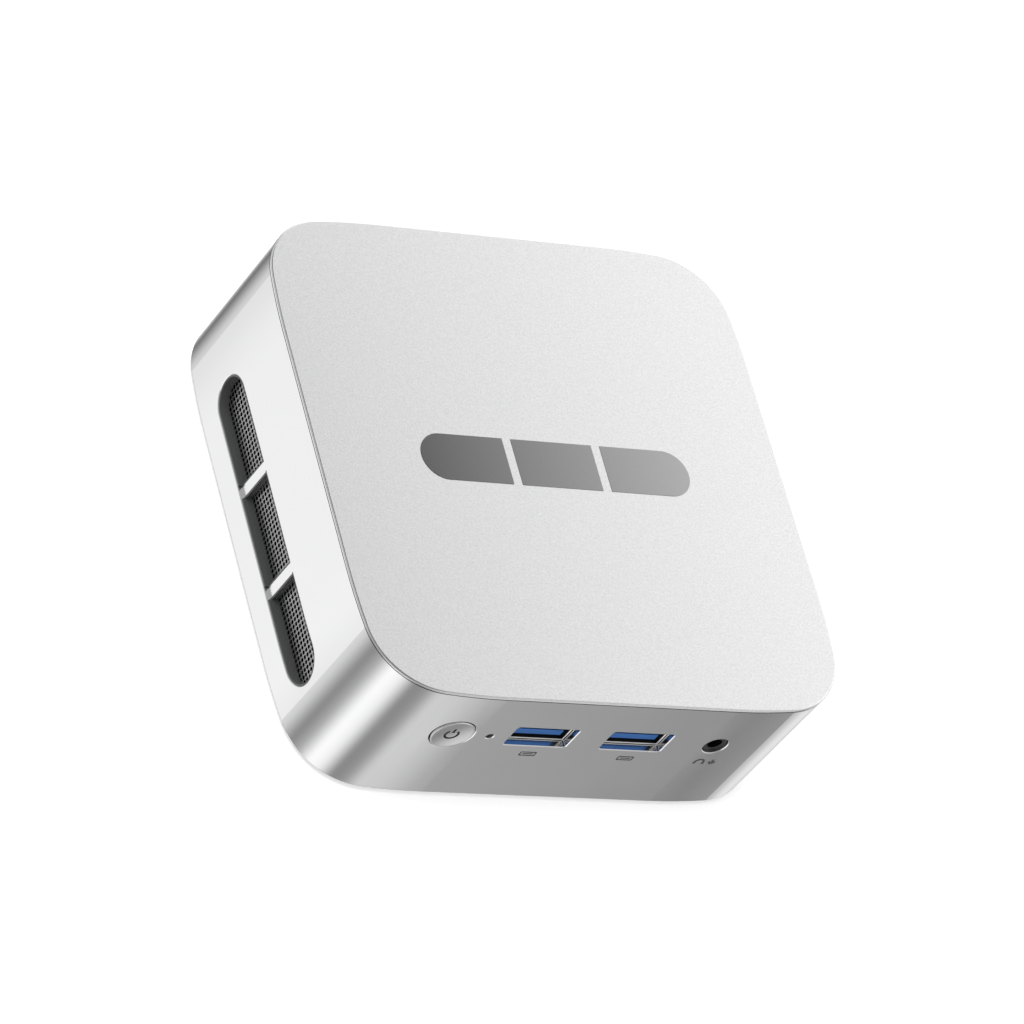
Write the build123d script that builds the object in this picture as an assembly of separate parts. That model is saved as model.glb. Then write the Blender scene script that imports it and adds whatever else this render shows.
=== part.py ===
from build123d import *

import os
from math import atan2, cos, degrees, hypot, radians, sin, tan

# Mini pc, in millimetres. X runs along the front face, Y runs to the back, Z is up.
# The origin is at the middle of the footprint, at the level the feet stand on.

# Case
CASE_W = 128.0            # width and depth of the square footprint
LID_TOP = 42.8            # overall height, feet included
CASE_BOTTOM = 1.0         # the shell's lower edge, lifted off the table by the feet
CORNER_RUN = 33.1         # each corner starts this far from where the sides would meet
EASE_R = 168.4            # large radius that eases a side into its corner
EASE_ANGLE = 5.466        # degrees turned by each easing arc
WALL = 2.0
BOTTOM_EDGE_R = 0.7       # rounding of the shell's lower edge
LID_EDGE_R = 0.5          # rounding of the lid's upper edge
EDGE_BREAK = 0.18         # small chamfer round every opening in the walls
SEAM = 0.25               # open line between the lid's rim and the shell
LID_FIT = 0.15            # sideways clearance of lid and cover inside the wall
LEDGE_TOP = 41.2          # the lid's plate rests here
LEDGE_DEPTH = 1.6
LEDGE_W = 2.0
LID_RIM = LID_TOP - LID_EDGE_R
SHELL_TOP = LID_RIM - SEAM
COVER_TOP = 2.6           # the bottom cover is 1.6 thick
HALF = CASE_W / 2
INNER = HALF - WALL       # distance from the centre to the walls' inner faces

# Emblem printed on the lid
EMBLEM_W, EMBLEM_D, EMBLEM_H = 73.0, 12.4, 0.1
EMBLEM_GAP = 2.4
EMBLEM_PLACE = (0.3, -0.15)

# Lid hooks
HOOK_W = 9.0
HOOK_OFFSET = 17.0        # two hooks on each side, this far from the middle
HOOK_BOTTOM = 37.6

# Corner pillars take the cover's screws; wall bosses carry the mainboard
PILLAR = 50.0
PILLAR_R = 3.4
PILLAR_FOOT = 3.4
BOSS_X, BOSS_Y, BOSS_R = 54.0, 24.0, 3.2
COVER_THREAD_R = 1.3
SMALL_THREAD_R = 1.1
SCREW_CLEAR = 0.03        # between a screw's thread and the hole it is driven into

# Side vents
VENT_LENGTH = 81.1
VENT_HEIGHT = 12.6
VENT_Y = -4.65            # middle of the slot along the side
VENT_Z = 15.4
VENT_RIB_W = 2.6
VENT_RIB_RECESS = 0.95    # the silver ribs lie this far below the side's surface
LINER_RECESS = 0.2
LINER_WALL = 0.45
MESH_DEPTH = 2.65         # from the side's surface to the mesh
VENT_LAND = 2.4           # width of the flat land behind the wall, round the slot
MESH_T = 0.4

# Front openings: distances along X and heights
BUTTON_X, BUTTON_Z = -36.6, 26.6
BUTTON_R = 5.2
BUTTON_GAP = 0.2
BUTTON_PROUD = 0.1
BUTTON_TRAVEL = 0.6
BUTTON_DISH = 0.2
FLANGE_R = 6.1
STEM_R = 1.5
RETAINER_Y = (-59.9, -58.9)
RETAINER_SCREWS = ((-43.4, 20.8), (-29.8, 20.8))
RETAINER_THREAD_R = 0.8
PLUNGER_TIP = -58.4
SWITCH_FRONT = -57.6
LIGHT_X = -26.8
LIGHT_R = 0.9
USB_Z = 27.2
FRONT_USB_X = {"left": -13.25, "right": 12.4}
USB_CUT_W, USB_CUT_H = 16.6, 7.6
USB_W, USB_H = 14.4, 5.5  # clear opening of the metal shell
USB_METAL = 0.3
USB_DEPTH = 17.5
USB_SET_BACK = 1.85       # the shell's flared mouth lies this far behind the face
AUDIO_X, AUDIO_Z = 34.1, 27.0
AUDIO_HOLE_R = 3.1
AUDIO_BORE_R = 1.8
AUDIO_DEPTH = 12.0

# Rear openings
REAR_USB_X = -10.5
REAR_USB_Z = (27.2, 18.9)
VIDEO_X = (7.5, 24.5)
VIDEO_W, VIDEO_H = 14.2, 4.7
VIDEO_DEPTH = 11.5
NETWORK_X = -29.5
NETWORK_W, NETWORK_H = 16.2, 13.4
NETWORK_DEPTH = 18.5
PLUG_CAVITY_W, PLUG_CAVITY_H, PLUG_CAVITY_DEPTH = 11.9, 7.6, 12.5
INLET_X, INLET_Z = 40.5, 25.4
INLET_R = 4.0
INLET_BORE_R = 3.15
INLET_PIN_R = 1.0

# Mainboard, with its ports hanging below it
BOARD_BOTTOM = 30.6
BOARD_TOP = 32.2
BOARD_HALF_X = 59.5
BOARD_FRONT, BOARD_BACK = -59.6, 60.4
BOARD_NOTCH_X, BOARD_NOTCH_Y = 46.0, 44.0
SUBSTRATE_BOTTOM, DIE_BOTTOM, PAD_BOTTOM = 29.9, 29.5, 29.3
COIN_R, COIN_Y = 10.0, -47.5

# Cooling
SINK_X, SINK_Y = 42.0, 41.0
SINK_TOP, SINK_BASE = 28.4, 24.9
FIN_BOTTOM = 14.0
FIN_T, FIN_PITCH, FIN_COUNT = 0.9, 2.9, 23
FIN_HALF_LENGTH = 40.0
SINK_SCREW = 37.5
PIPE_W, PIPE_H, PIPE_LENGTH, PIPE_Y = 6.0, 2.2, 76.0, 6.5
FAN_BOTTOM, FAN_TOP = 3.9, 12.9
FAN_BORE_R, FAN_RING_R = 32.6, 34.6
FAN_EAR_X, FAN_EAR_Y, FAN_EAR_R = 25.0, 37.5, 3.6
HUB_R = 13.0
BLADE_TIP = 30.6
BLADE_COUNT = 9
SHAFT_R = 1.0
SHAFT_FIT = 0.03
FAN_PLUG = (49.0, -35.0)

# Underside
GRILLE_R = 31.0
GRILLE_SLOT, GRILLE_PITCH = 1.8, 3.1
MOUNT_SPACING = 75.0
INSERT_R, INSERT_BORE_R, INSERT_LENGTH = 3.0, 1.65, 5.0
FOOT_X, FOOT_Y, FOOT_L, FOOT_W = 30.0, 52.0, 24.0, 8.0
FOOT_RECESS = 0.9

# Cards above the mainboard
CARD_Z = 34.6
CARD_T = 0.8
CARD_W = 22.0
DRIVE_Y, DRIVE_X = 18.0, (-40.0, 40.0)
RADIO_Y, RADIO_X = 43.0, (-11.0, 19.0)

CORNERS = [(sx, sy) for sx in (-1, 1) for sy in (-1, 1)]


def upward(sketch, low, high):
    """A prism from a sketch in plan, between two heights."""
    return extrude(Plane.XY.offset(low) * sketch, amount=high - low)


def along_y(sketch, front, back):
    """A prism from a sketch in X and Z, from a front plane to a back plane."""
    return extrude(Plane((0, front, 0), x_dir=(1, 0, 0), z_dir=(0, -1, 0)) * sketch, amount=front - back)


def along_x(sketch, start, end):
    """A prism from a sketch in Y and Z, between two distances along X."""
    return extrude(Plane((start, 0, 0), x_dir=(0, 1, 0), z_dir=(1, 0, 0)) * sketch, amount=end - start)


def block(x, y, z):
    """A box from three pairs of limits."""
    size = [hi - lo for lo, hi in (x, y, z)]
    middle = [(hi + lo) / 2 for lo, hi in (x, y, z)]
    return Pos(*middle) * Box(*size)


def post(x, y, radius, low, high):
    return Pos(x, y, (low + high) / 2) * Cylinder(radius, high - low)


def rod_y(x, z, radius, front, back):
    return along_y(Pos(x, z) * Circle(radius), front, back)


def screw(x, y, seat, head_up, head_r, head_h, thread_r, length):
    """A pan-head screw on a vertical axis; head_up is 1 or -1, seat is the plane under its head."""
    head = post(x, y, head_r, *sorted((seat, seat + head_up * head_h)))
    edge = head.edges().sort_by(Axis.Z)[-1 if head_up > 0 else 0]
    head = fillet(edge, head_h * 0.35)
    shank = post(x, y, thread_r, *sorted((seat, seat - head_up * length)))
    recess_end = seat + head_up * head_h
    recess = post(x, y, head_r * 0.42, *sorted((recess_end, recess_end - head_up * head_h * 0.55)))
    return head + shank - recess


def outline(inset=0.0):
    """The case's plan: a square whose corners are one tight arc between two easing arcs."""
    ease = radians(EASE_ANGLE)
    eased = EASE_R * (sin(ease) + 1 - cos(ease))
    tight = (CORNER_RUN - eased) / (cos(ease) - sin(ease))
    flat = HALF - CORNER_RUN
    side = Line((HALF - inset, -flat), (HALF - inset, flat))
    first = JernArc(side @ 1, side % 1, EASE_R - inset, EASE_ANGLE)
    middle = JernArc(first @ 1, first % 1, tight - inset, 90 - 2 * EASE_ANGLE)
    last = JernArc(middle @ 1, middle % 1, EASE_R - inset, EASE_ANGLE)
    quarter = [side, first, middle, last]
    return make_face([Rot(0, 0, 90 * turn) * edge for turn in range(4) for edge in quarter])


def ring(outer_inset, inner_inset, low, high):
    return upward(outline(outer_inset), low, high) - upward(outline(inner_inset), low - 1, high + 1)


# ---------------------------------------------------------------- case

def vent_slot(grow=0.0):
    return Pos(VENT_Y, VENT_Z) * SlotOverall(VENT_LENGTH + 2 * grow, VENT_HEIGHT + 2 * grow)


def rib_strip(extra=0.0):
    """The two ribs that divide the slot into thirds."""
    strips = [
        Pos(VENT_Y + side * VENT_LENGTH / 6, VENT_Z) * Rectangle(VENT_RIB_W + 2 * extra, VENT_HEIGHT * 2)
        for side in (-1, 1)
    ]
    return strips[0] + strips[1]


def vent_cut(side):
    """The slot with its three windows, on the left (-1) or the right (1)."""
    face = side * HALF
    recess = along_x(vent_slot(), face + side, face - side * VENT_RIB_RECESS)
    windows = along_x(vent_slot() - rib_strip(), face + side, face - side * (WALL + 1))
    return recess + windows


def usb_cut(x, z, face):
    """A port's opening through the front (-1) or rear (1) wall."""
    hole = Pos(x, z) * RectangleRounded(USB_CUT_W, USB_CUT_H, 0.7)
    return along_y(hole, *sorted((face * (HALF + 1), face * (INNER - 1))))


def wall_hole(x, z, radius, face):
    return rod_y(x, z, radius, *sorted((face * (HALF + 1), face * (INNER - 1))))


def front_cuts():
    cuts = wall_hole(BUTTON_X, BUTTON_Z, BUTTON_R + BUTTON_GAP, -1)
    cuts += rod_y(BUTTON_X, BUTTON_Z, FLANGE_R + 0.5, -INNER, -INNER + 2)
    cuts += wall_hole(LIGHT_X, BUTTON_Z, LIGHT_R + 0.05, -1)
    for x in FRONT_USB_X.values():
        cuts += usb_cut(x, USB_Z, -1)
    cuts += wall_hole(AUDIO_X, AUDIO_Z, AUDIO_HOLE_R, -1)
    return cuts


def rear_cuts():
    cuts = wall_hole(INLET_X, INLET_Z, INLET_R + 0.2, 1)
    for z in REAR_USB_Z:
        cuts += usb_cut(REAR_USB_X, z, 1)
    for x in VIDEO_X:
        hole = Pos(x, USB_Z) * RectangleRounded(VIDEO_W + 1.4, VIDEO_H + 1.6, 0.8)
        cuts += along_y(hole, INNER - 1, HALF + 1)
    network = Pos(NETWORK_X, BOARD_BOTTOM - 0.2 - NETWORK_H / 2)
    cuts += along_y(network * RectangleRounded(NETWORK_W + 0.4, NETWORK_H + 0.4, 0.4), INNER - 1, HALF + 1)
    return cuts


def corner_pillar(sx, sy):
    pillar = post(sx * PILLAR, sy * PILLAR, PILLAR_R, PILLAR_FOOT, LEDGE_TOP - LEDGE_DEPTH)
    web_height = LEDGE_TOP - LEDGE_DEPTH - PILLAR_FOOT
    web = Pos(sx * (PILLAR + 3), sy * (PILLAR + 3), PILLAR_FOOT + web_height / 2)
    return pillar + web * (Rot(0, 0, 45 * sx * sy) * Box(9.0, 2.0, web_height))


def board_boss(sx, sy):
    boss = post(sx * BOSS_X, sy * BOSS_Y, BOSS_R, BOARD_TOP, LEDGE_TOP - LEDGE_DEPTH)
    reach = sorted((sx * BOSS_X, sx * (INNER + 0.5)))
    return boss + block(reach, (sy * BOSS_Y - 1.2, sy * BOSS_Y + 1.2), (BOARD_TOP, LEDGE_TOP - LEDGE_DEPTH))


def opening_edges(body):
    """The edges of every opening, where it meets the outside of a wall."""
    reach = HALF - 0.75
    seam_length = SHELL_TOP - CASE_BOTTOM - 2 * BOTTOM_EDGE_R
    edges = []
    for edge in body.edges():
        x, y, z = edge.center()
        on_seam = edge.geom_type == GeomType.LINE and abs(abs(x) - (HALF - CORNER_RUN)) < 0.01
        in_ports = abs(y) > reach and abs(x) < HALF - CORNER_RUN / 2 and BUTTON_Z / 2 < z < BOARD_BOTTOM + 1
        on_side = abs(x) > reach and abs(y) < HALF - CORNER_RUN / 2
        in_vents = on_side and abs(z - VENT_Z) < VENT_HEIGHT / 2 + 0.1
        if (in_ports and edge.length < seam_length and not on_seam) or in_vents:
            edges.append(edge)
    return edges


def case_shell():
    body = upward(outline(), CASE_BOTTOM, SHELL_TOP)
    body = fillet(body.edges().group_by(Axis.Z)[0], BOTTOM_EDGE_R)
    body -= upward(outline(WALL), CASE_BOTTOM - 1, SHELL_TOP + 1)
    body += ring(WALL - 0.5, WALL + LEDGE_W, LEDGE_TOP - LEDGE_DEPTH, LEDGE_TOP)
    trim = upward(outline(WALL / 2), CASE_BOTTOM, SHELL_TOP)
    for sx, sy in CORNERS:
        body += corner_pillar(sx, sy) & trim
        body -= post(sx * PILLAR, sy * PILLAR, COVER_THREAD_R + SCREW_CLEAR, PILLAR_FOOT - 1, 13.0)
        body += board_boss(sx, sy)
        body -= post(sx * BOSS_X, sy * BOSS_Y, SMALL_THREAD_R + SCREW_CLEAR, BOARD_TOP - 1, 38.0)
    body -= front_cuts()
    for x, z in RETAINER_SCREWS:
        body += rod_y(x, z, 2.1, -INNER - 1, RETAINER_Y[0])
        body -= rod_y(x, z, RETAINER_THREAD_R + SCREW_CLEAR, -INNER - 0.6, RETAINER_Y[0] + 1)
    body -= rear_cuts()
    for side in (-1, 1):
        body -= vent_cut(side)
        body -= along_x(vent_slot(VENT_LAND + 0.3), side * INNER, side * (INNER - 3))
    return chamfer(opening_edges(body), EDGE_BREAK)


def lid_hooks():
    """Snap hooks under the lid; each barb catches below the shell's ledge."""
    tab_inset = WALL + LEDGE_W + 0.2
    tab_x = (HALF - tab_inset - 1.2, HALF - tab_inset)
    tab = block(tab_x, (-HOOK_W / 2, HOOK_W / 2), (HOOK_BOTTOM, LEDGE_TOP))
    barb_top = LEDGE_TOP - LEDGE_DEPTH - 0.2
    barb = make_face(Polyline(
        (HALF - tab_inset, HOOK_BOTTOM),
        (HALF - tab_inset + 0.9, barb_top - 0.5),
        (HALF - tab_inset + 0.9, barb_top),
        (HALF - tab_inset, barb_top),
        close=True,
    ))
    barb = extrude(Plane.XZ.offset(HOOK_W / 2) * barb, amount=-HOOK_W)
    hook = tab + barb
    return [
        Rot(0, 0, 90 * turn) * (Pos(0, along, 0) * hook)
        for turn in range(4)
        for along in (-HOOK_OFFSET, HOOK_OFFSET)
    ]


def top_lid():
    rim = upward(outline(), LID_RIM, LID_TOP)
    rim = fillet(rim.edges().group_by(Axis.Z)[-1], LID_EDGE_R - 0.02)
    lid = rim + upward(outline(WALL + LID_FIT), LEDGE_TOP, LID_RIM)
    for hook in lid_hooks():
        lid += hook
    return lid


def bottom_grille():
    """Parallel air slots that fill a circle under the fan."""
    rows = int(GRILLE_R / GRILLE_PITCH)
    slots = []
    for row in range(-rows, rows + 1):
        y = row * GRILLE_PITCH
        length = 2 * (GRILLE_R ** 2 - y ** 2) ** 0.5
        if length > 4 * GRILLE_SLOT:
            slots.append(upward(Pos(0, y) * SlotOverall(length, GRILLE_SLOT), CASE_BOTTOM - 1, COVER_TOP + 1))
    return slots


def foot_plan():
    return [Pos(sx * FOOT_X, sy * FOOT_Y) * SlotOverall(FOOT_L, FOOT_W) for sx, sy in CORNERS]


def bottom_cover():
    cover = upward(outline(WALL + LID_FIT), CASE_BOTTOM, COVER_TOP)
    mount = MOUNT_SPACING / 2
    for sx, sy in CORNERS:
        cover += post(sx * PILLAR, sy * PILLAR, 4.2, CASE_BOTTOM, PILLAR_FOOT)
        cover -= post(sx * PILLAR, sy * PILLAR, 2.7, CASE_BOTTOM - 1, COVER_TOP - 0.2)
        cover -= post(sx * PILLAR, sy * PILLAR, COVER_THREAD_R + 0.15, CASE_BOTTOM, PILLAR_FOOT + 1)
        cover += post(sx * mount, sy * mount, 4.4, CASE_BOTTOM, CASE_BOTTOM + INSERT_LENGTH + 1.0)
        cover -= post(sx * mount, sy * mount, INSERT_R, CASE_BOTTOM - 1, CASE_BOTTOM + INSERT_LENGTH)
    for foot in foot_plan():
        cover -= upward(foot, CASE_BOTTOM - 1, CASE_BOTTOM + FOOT_RECESS)
    for slot in bottom_grille():
        cover -= slot
    return cover


def rubber_feet():
    pads = []
    for foot in foot_plan():
        pad = upward(foot, 0, CASE_BOTTOM + FOOT_RECESS)
        pads.append(fillet(pad.edges().group_by(Axis.Z)[0], 0.5))
    return Compound(pads)


def bottom_screws():
    seat = COVER_TOP - 0.2
    return Compound([
        screw(sx * PILLAR, sy * PILLAR, seat, -1, 2.4, 1.2, COVER_THREAD_R, 9.5) for sx, sy in CORNERS
    ])


def mount_inserts():
    mount = MOUNT_SPACING / 2
    top = CASE_BOTTOM + INSERT_LENGTH
    inserts = []
    for sx, sy in CORNERS:
        insert = post(sx * mount, sy * mount, INSERT_R, CASE_BOTTOM, top)
        inserts.append(insert - post(sx * mount, sy * mount, INSERT_BORE_R, CASE_BOTTOM - 1, top + 1))
    return Compound(inserts)


def dust_filter():
    return upward(Circle(GRILLE_R + 2.5), COVER_TOP, COVER_TOP + 0.4)


def vent_liner(side):
    """Dark insert: three collars that line the windows, on one flange behind the wall."""
    face = side * HALF
    window = vent_slot() - rib_strip()
    opening = vent_slot(-LINER_WALL) - rib_strip(LINER_WALL)
    collar = along_x(window, face - side * LINER_RECESS, face - side * MESH_DEPTH)
    flange = along_x(vent_slot(VENT_LAND), face - side * WALL, face - side * MESH_DEPTH)
    liner = collar + flange
    liner -= along_x(opening, face + side, face - side * (MESH_DEPTH + 1))
    near_ribs = along_x(rib_strip(LINER_WALL + 0.01), face + side, face - side * (VENT_RIB_RECESS + 0.05))
    return (liner - near_ribs) & upward(outline(LINER_RECESS), CASE_BOTTOM, LEDGE_TOP)


def vent_mesh(side):
    face = side * HALF
    return along_x(vent_slot(1.8), face - side * MESH_DEPTH, face - side * (MESH_DEPTH + MESH_T))


def lid_emblem():
    """A plain mark of three bars, in the manner of the side vents."""
    bar = SlotOverall(EMBLEM_W, EMBLEM_D)
    for side in (-1, 1):
        bar -= Pos(side * EMBLEM_W / 6, 0) * Rectangle(EMBLEM_GAP, EMBLEM_D * 2)
    return upward(Pos(*EMBLEM_PLACE) * bar, LID_TOP, LID_TOP + EMBLEM_H)


# ---------------------------------------------------------------- power button and light

def power_button():
    front, flange_front, flange_back = -HALF - BUTTON_PROUD, -INNER + 0.25, -INNER + 1.05
    cap = rod_y(BUTTON_X, BUTTON_Z, BUTTON_R, front, flange_front)
    cap = fillet(cap.edges().sort_by(Axis.Y)[0], 0.2)
    dish_r = ((BUTTON_R - 0.4) ** 2 + BUTTON_DISH ** 2) / (2 * BUTTON_DISH)
    cap -= Pos(BUTTON_X, front + BUTTON_DISH - dish_r, BUTTON_Z) * Sphere(dish_r)
    cap += rod_y(BUTTON_X, BUTTON_Z, FLANGE_R, flange_front, flange_back)
    return cap + rod_y(BUTTON_X, BUTTON_Z, STEM_R, flange_back, PLUNGER_TIP)


def button_retainer():
    plate = block((-45.4, -27.9), RETAINER_Y, (18.8, 30.3))
    plate -= rod_y(BUTTON_X, BUTTON_Z, STEM_R + 0.3, -61, -58)
    for x, z in RETAINER_SCREWS:
        plate -= rod_y(x, z, 1.0, -61, -58)
    return plate


def retainer_screws():
    screws = []
    for x, z in RETAINER_SCREWS:
        head = rod_y(x, z, 1.8, RETAINER_Y[1], RETAINER_Y[1] + 1.1)
        screws.append(head + rod_y(x, z, RETAINER_THREAD_R, -INNER - 0.4, RETAINER_Y[1]))
    return Compound(screws)


def power_switch():
    body = block((BUTTON_X - 3, BUTTON_X + 3), (SWITCH_FRONT, SWITCH_FRONT + 3.8), (24.0, BOARD_BOTTOM))
    return body - rod_y(BUTTON_X, BUTTON_Z, 1.3, SWITCH_FRONT - 1, SWITCH_FRONT + 2.0)


def switch_plunger():
    return rod_y(BUTTON_X, BUTTON_Z, 1.0, PLUNGER_TIP, SWITCH_FRONT + 1.0)


def light_pipe():
    turn_y = -57.2
    pipe = rod_y(LIGHT_X, BUTTON_Z, LIGHT_R, -HALF + 0.7, turn_y)
    pipe += Pos(LIGHT_X, turn_y, BUTTON_Z) * Sphere(LIGHT_R)
    return pipe + post(LIGHT_X, turn_y, LIGHT_R, BUTTON_Z, 29.4)


def status_led():
    return block((LIGHT_X - 1, LIGHT_X + 1), (-58.0, -56.4), (29.4, BOARD_BOTTOM))


# ---------------------------------------------------------------- ports

def usb_shell(x, z, face):
    """Metal shell of a port: a flared mouth, a rectangular sleeve and legs up to the board."""
    mouth = face * (HALF - USB_SET_BACK)
    throat = mouth - face * 0.9
    back = mouth - face * USB_DEPTH

    def sleeve(w, h, start, end):
        return along_y(Pos(x, z) * RectangleRounded(w, h, 0.5), *sorted((start, end)))

    def flare(w, h):
        planes = [Plane((x, y, z), x_dir=(1, 0, 0), z_dir=(0, -1, 0)) for y in (throat, mouth)]
        return loft([planes[0] * Rectangle(w, h), planes[1] * Rectangle(w + 1.2, h + 1.1)])

    outer_w, outer_h = USB_W + 2 * USB_METAL, USB_H + 2 * USB_METAL
    shell = sleeve(outer_w, outer_h, throat, back) + flare(outer_w, outer_h)
    shell -= sleeve(USB_W, USB_H, throat, back + face * USB_METAL) + flare(USB_W, USB_H)
    top = z + outer_h / 2
    ceiling = BOARD_BOTTOM if z == USB_Z else USB_Z - outer_h / 2
    for leg_x in (x - USB_W / 2 + 1, x + USB_W / 2 - 1):
        for leg_y in (mouth - face * 5, mouth - face * 13):
            shell += block((leg_x - 0.9, leg_x + 0.9), (leg_y - 0.9, leg_y + 0.9), (top - 0.1, ceiling))
    return shell


def usb_tongue(x, z, face):
    """Insulating tongue low in the port, on the block that closes its back."""
    mouth = face * (HALF - USB_SET_BACK)
    root = mouth - face * 12.0
    tip = mouth - face * 0.35
    low = z - USB_H / 2 + 0.7
    blade = along_y(Pos(x, low + 1.0) * Rectangle(USB_W - 1.2, 2.0), *sorted((root, tip)))
    filling = Pos(x, z) * RectangleRounded(USB_W - 0.2, USB_H - 0.2, 0.5)
    base = along_y(filling, *sorted((root, root - face * 5.0)))
    return blade + base


def audio_jack():
    body = block((AUDIO_X - 3.4, AUDIO_X + 3.4), (-INNER + 0.4, -INNER + AUDIO_DEPTH), (24.0, BOARD_BOTTOM))
    nose_front = -HALF + 0.8
    body += rod_y(AUDIO_X, AUDIO_Z, AUDIO_HOLE_R - 0.1, nose_front, -INNER + 1.0)
    return body - rod_y(AUDIO_X, AUDIO_Z, AUDIO_BORE_R, nose_front - 1, nose_front + AUDIO_DEPTH)


def video_profile(grow=0.0):
    """A flat port with its two corners nearest the board cut off."""
    w, h, cut = VIDEO_W / 2 + grow, VIDEO_H / 2 + grow, 1.7
    corners = [(-w, -h), (w, -h), (w, h - cut), (w - cut, h), (cut - w, h), (-w, h - cut)]
    return make_face(Polyline(*corners, close=True))


def video_port_shells():
    mouth = HALF - 1.6
    shells = []
    for x in VIDEO_X:
        place = Pos(x, USB_Z)
        shell = along_y(place * video_profile(0.35), mouth - VIDEO_DEPTH, mouth)
        shell -= along_y(place * video_profile(), mouth - VIDEO_DEPTH + 0.4, mouth + 1)
        top = USB_Z + VIDEO_H / 2 + 0.3
        shell += block((x - 4, x + 4), (mouth - 8, mouth - 6), (top, BOARD_BOTTOM))
        shells.append(shell)
    return Compound(shells)


def video_port_tongues():
    mouth = HALF - 1.6
    back = mouth - VIDEO_DEPTH + 0.4
    tongues = []
    for x in VIDEO_X:
        blade = block((x - 5.2, x + 5.2), (back + 2, mouth - 1.2), (USB_Z - 0.5, USB_Z + 0.7))
        tongues.append(blade + block((x - 5.2, x + 5.2), (back, back + 2), (USB_Z - 2.2, USB_Z + 2.2)))
    return Compound(tongues)


def network_shell():
    mouth = HALF - 1.5
    z = BOARD_BOTTOM - 0.2 - NETWORK_H / 2
    shell = along_y(Pos(NETWORK_X, z) * Rectangle(NETWORK_W, NETWORK_H), mouth - NETWORK_DEPTH, mouth)
    shell -= along_y(Pos(NETWORK_X, z) * Rectangle(NETWORK_W - 0.6, NETWORK_H - 0.6),
                     mouth - NETWORK_DEPTH + 0.3, mouth + 1)
    legs = (mouth - 15, mouth - 6)
    for y in legs:
        shell += block((NETWORK_X - 6, NETWORK_X + 6), (y - 1, y + 1), (BOARD_BOTTOM - 0.3, BOARD_BOTTOM))
    return shell


def network_insert():
    mouth = HALF - 1.7
    z = BOARD_BOTTOM - 0.2 - NETWORK_H / 2
    body = along_y(Pos(NETWORK_X, z) * Rectangle(NETWORK_W - 0.7, NETWORK_H - 0.7),
                   mouth - NETWORK_DEPTH + 0.7, mouth)
    cavity_top = z + 4.4
    cavity_mid = cavity_top - PLUG_CAVITY_H / 2
    back = mouth - PLUG_CAVITY_DEPTH
    body -= along_y(Pos(NETWORK_X, cavity_mid) * Rectangle(PLUG_CAVITY_W, PLUG_CAVITY_H), back, mouth + 1)
    latch_z = cavity_top - PLUG_CAVITY_H - 1.0
    return body - along_y(Pos(NETWORK_X, latch_z) * Rectangle(6.4, 2.4), back, mouth + 1)


def power_inlet():
    back = INNER - 11.5
    body = block((INLET_X - 4.6, INLET_X + 4.6), (back, INNER - 1.0), (INLET_Z - 4.6, BOARD_BOTTOM))
    body += rod_y(INLET_X, INLET_Z, INLET_R, INNER - 1.5, HALF - 0.9)
    return body - rod_y(INLET_X, INLET_Z, INLET_BORE_R, back + 2, HALF)


def power_inlet_pin():
    back = INNER - 9.5
    pin = rod_y(INLET_X, INLET_Z, INLET_PIN_R, back, HALF - 2.0)
    return fillet(pin.edges().sort_by(Axis.Y)[-1], 0.5)


# ---------------------------------------------------------------- mainboard

def mainboard():
    board = block((-BOARD_HALF_X, BOARD_HALF_X), (BOARD_FRONT, BOARD_BACK), (BOARD_BOTTOM, BOARD_TOP))
    for sx, sy in CORNERS:
        x = sorted((sx * BOARD_NOTCH_X, sx * 70))
        y = sorted((sy * BOARD_NOTCH_Y, sy * 70))
        board -= block(x, y, (BOARD_BOTTOM - 1, BOARD_TOP + 1))
        board -= post(sx * BOSS_X, sy * BOSS_Y, 1.4, BOARD_BOTTOM - 1, BOARD_TOP + 1)
        board -= post(sx * SINK_SCREW, sy * SINK_SCREW, 1.4, BOARD_BOTTOM - 1, BOARD_TOP + 1)
    return board


def board_screws():
    return Compound([
        screw(sx * BOSS_X, sy * BOSS_Y, BOARD_BOTTOM, -1, 2.3, 1.4, SMALL_THREAD_R, 6.4) for sx, sy in CORNERS
    ])


def processor():
    substrate = block((-17.5, 17.5), (-12, 12), (SUBSTRATE_BOTTOM, BOARD_BOTTOM))
    return substrate + block((-6.5, 6.5), (-5, 5), (DIE_BOTTOM, SUBSTRATE_BOTTOM))


def thermal_pad():
    return block((-7.5, 7.5), (-6, 6), (PAD_BOTTOM, DIE_BOTTOM))


def cold_plate():
    return upward(RectangleRounded(44, 40, 2), SINK_TOP, PAD_BOTTOM)


def power_inductors():
    coils = []
    for step in range(4):
        middle = Pos(50, -12 + 8 * step, BOARD_BOTTOM - 1.5)
        coil = middle * Box(6.4, 6.4, 3.0)
        coils.append(fillet(coil.edges().filter_by(Axis.Z), 1.2))
    return Compound(coils)


def coin_cell():
    cell = post(0, COIN_Y, COIN_R, BOARD_TOP, BOARD_TOP + 3.2)
    return fillet(cell.edges().sort_by(Axis.Z)[-1], 0.4)


# ---------------------------------------------------------------- cooling

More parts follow.
